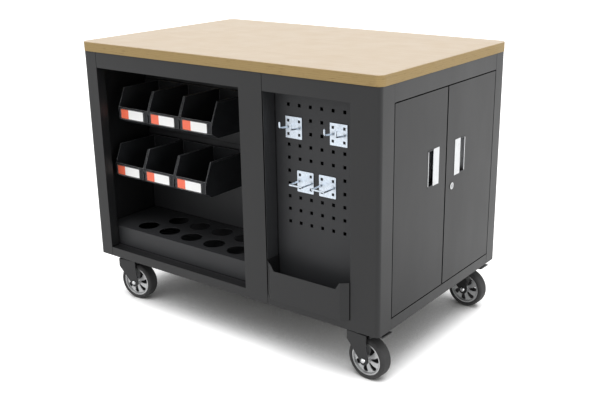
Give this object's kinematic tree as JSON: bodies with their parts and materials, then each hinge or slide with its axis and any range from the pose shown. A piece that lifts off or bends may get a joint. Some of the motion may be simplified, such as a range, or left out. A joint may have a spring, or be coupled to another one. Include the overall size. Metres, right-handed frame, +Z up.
{
  "type": "rolling tool cabinet",
  "caption": "Rolling steel tool cabinet with a plywood worktop, a bay of hanging bins, a perforated hook panel over a pocket, two side doors and swivel casters.",
  "frame": {"origin": "on the floor under the middle of the bounding box", "axes": "+X to the right along the open front, +Y from the front to the back, +Z up"},
  "size_m": [1.132, 0.735, 0.88],
  "materials": {
    "worktop": "clear lacquered plywood",
    "body_paint": "fine textured anthracite powder coat",
    "inner_paint": "fine textured anthracite powder coat",
    "door_paint": "fine textured anthracite powder coat",
    "stainless": "brushed stainless steel",
    "chrome": "bright nickel plate",
    "zinc": "bright zinc plate",
    "bin_plastic": "black moulded polypropylene",
    "caster_steel": "dark coated steel",
    "axle_steel": "plated steel",
    "wheel_core": "silver cast core",
    "tyre_rubber": "black rubber tread"
  },
  "bodies": {
    "cabinet": {"worktop": "worktop", "front_left_post": "body_paint", "front_frame": "body_paint", "right_front_frame": "body_paint", "right_top_rail": "body_paint", "right_bottom_rail": "body_paint", "back_right_post": "body_paint", "back_left_post": "body_paint", "left_side_panel": "body_paint", "back_panel": "body_paint", "cabinet_floor": "inner_paint", "base_channels": "inner_paint", "bay_back_panel": "inner_paint", "bay_partition": "inner_paint", "can_shelf": "inner_paint", "cupboard_shelf": "inner_paint", "shelf_brackets": "inner_paint", "pegboard": "inner_paint", "pocket": "body_paint", "pocket_rivets": "chrome", "hinge_pins": "zinc", "single_hooks": "zinc", "double_hooks": "zinc", "bin_rails": "inner_paint", "caster_plates": "caster_steel", "caster_bolts": "zinc"},
    "left_door": {"left_door": "door_paint", "left_door_pull": "stainless"},
    "right_door": {"right_door": "door_paint", "right_door_pull": "stainless", "lock_housing": "chrome"},
    "lock": {"lock_plug": "chrome", "lock_cam": "zinc"},
    "upper_bin_1": {"upper_bin_1": "bin_plastic"},
    "lower_bin_1": {"lower_bin_1": "bin_plastic"},
    "upper_bin_2": {"upper_bin_2": "bin_plastic"},
    "lower_bin_2": {"lower_bin_2": "bin_plastic"},
    "upper_bin_3": {"upper_bin_3": "bin_plastic"},
    "lower_bin_3": {"lower_bin_3": "bin_plastic"},
    "front_right_caster": {"front_right_fork": "caster_steel", "front_right_axle": "axle_steel"},
    "front_right_wheel": {"front_right_wheel": "wheel_core", "front_right_tyre": "tyre_rubber"},
    "front_right_pedal": {"front_right_pedal": "caster_steel"},
    "front_left_caster": {"front_left_fork": "caster_steel", "front_left_axle": "axle_steel"},
    "front_left_wheel": {"front_left_wheel": "wheel_core", "front_left_tyre": "tyre_rubber"},
    "front_left_pedal": {"front_left_pedal": "caster_steel"},
    "back_right_caster": {"back_right_fork": "caster_steel", "back_right_axle": "axle_steel"},
    "back_right_wheel": {"back_right_wheel": "wheel_core", "back_right_tyre": "tyre_rubber"},
    "back_right_pedal": {"back_right_pedal": "caster_steel"},
    "back_left_caster": {"back_left_fork": "caster_steel", "back_left_axle": "axle_steel"},
    "back_left_wheel": {"back_left_wheel": "wheel_core", "back_left_tyre": "tyre_rubber"},
    "back_left_pedal": {"back_left_pedal": "caster_steel"}
  },
  "joints": [
    {"name": "left_door_hinge", "type": "hinge", "parent": "cabinet", "child": "left_door", "pos_m": [0.5575, -0.2769, 0.46], "axis": [0, 0, -1], "range_deg": [0, 110]},
    {"name": "right_door_hinge", "type": "hinge", "parent": "cabinet", "child": "right_door", "pos_m": [0.5575, 0.2995, 0.46], "axis": [0, 0, 1], "range_deg": [0, 110]},
    {"name": "lock_turn", "type": "hinge", "parent": "right_door", "child": "lock", "pos_m": [0.5625, 0.042, 0.495], "axis": [1, 0, 0], "range_deg": [0, 90]},
    {"name": "upper_bin_1_lift", "type": "slide", "parent": "cabinet", "child": "upper_bin_1", "axis": [0, 0, 1], "range_m": [0, 0.015]},
    {"name": "lower_bin_1_lift", "type": "slide", "parent": "cabinet", "child": "lower_bin_1", "axis": [0, 0, 1], "range_m": [0, 0.015]},
    {"name": "upper_bin_2_lift", "type": "slide", "parent": "cabinet", "child": "upper_bin_2", "axis": [0, 0, 1], "range_m": [0, 0.015]},
    {"name": "lower_bin_2_lift", "type": "slide", "parent": "cabinet", "child": "lower_bin_2", "axis": [0, 0, 1], "range_m": [0, 0.015]},
    {"name": "upper_bin_3_lift", "type": "slide", "parent": "cabinet", "child": "upper_bin_3", "axis": [0, 0, 1], "range_m": [0, 0.015]},
    {"name": "lower_bin_3_lift", "type": "slide", "parent": "cabinet", "child": "lower_bin_3", "axis": [0, 0, 1], "range_m": [0, 0.015]},
    {"name": "front_right_swivel", "type": "hinge", "parent": "cabinet", "child": "front_right_caster", "pos_m": [0.4745, -0.291, 0.145], "axis": [0, 0, 1], "continuous": true},
    {"name": "front_right_roll", "type": "hinge", "parent": "front_right_caster", "child": "front_right_wheel", "pos_m": [0.49944, -0.29274, 0.0625], "axis": [0.0698, 0.9976, 0], "continuous": true},
    {"name": "front_right_brake", "type": "hinge", "parent": "front_right_caster", "child": "front_right_pedal", "pos_m": [0.50044, -0.29281, 0.131], "axis": [0.0698, 0.9976, 0], "range_deg": [0, 10]},
    {"name": "front_left_swivel", "type": "hinge", "parent": "cabinet", "child": "front_left_caster", "pos_m": [-0.4745, -0.291, 0.145], "axis": [0, 0, 1], "continuous": true},
    {"name": "front_left_roll", "type": "hinge", "parent": "front_left_caster", "child": "front_left_wheel", "pos_m": [-0.44974, -0.28752, 0.0625], "axis": [-0.1392, 0.9903, 0], "continuous": true},
    {"name": "front_left_brake", "type": "hinge", "parent": "front_left_caster", "child": "front_left_pedal", "pos_m": [-0.44875, -0.28738, 0.131], "axis": [-0.1392, 0.9903, 0], "range_deg": [0, 10]},
    {"name": "back_right_swivel", "type": "hinge", "parent": "cabinet", "child": "back_right_caster", "pos_m": [0.4745, 0.305, 0.145], "axis": [0, 0, 1], "continuous": true},
    {"name": "back_right_roll", "type": "hinge", "parent": "back_right_caster", "child": "back_right_wheel", "pos_m": [0.49949, 0.30413, 0.0625], "axis": [0.0349, 0.9994, 0], "continuous": true},
    {"name": "back_right_brake", "type": "hinge", "parent": "back_right_caster", "child": "back_right_pedal", "pos_m": [0.50048, 0.30409, 0.131], "axis": [0.0349, 0.9994, 0], "range_deg": [0, 10]},
    {"name": "back_left_swivel", "type": "hinge", "parent": "cabinet", "child": "back_left_caster", "pos_m": [-0.4745, 0.305, 0.145], "axis": [0, 0, 1], "continuous": true},
    {"name": "back_left_roll", "type": "hinge", "parent": "back_left_caster", "child": "back_left_wheel", "pos_m": [-0.4496, 0.30718, 0.0625], "axis": [-0.0872, 0.9962, 0], "continuous": true},
    {"name": "back_left_brake", "type": "hinge", "parent": "back_left_caster", "child": "back_left_pedal", "pos_m": [-0.4486, 0.30727, 0.131], "axis": [-0.0872, 0.9962, 0], "range_deg": [0, 10]}
  ]
}
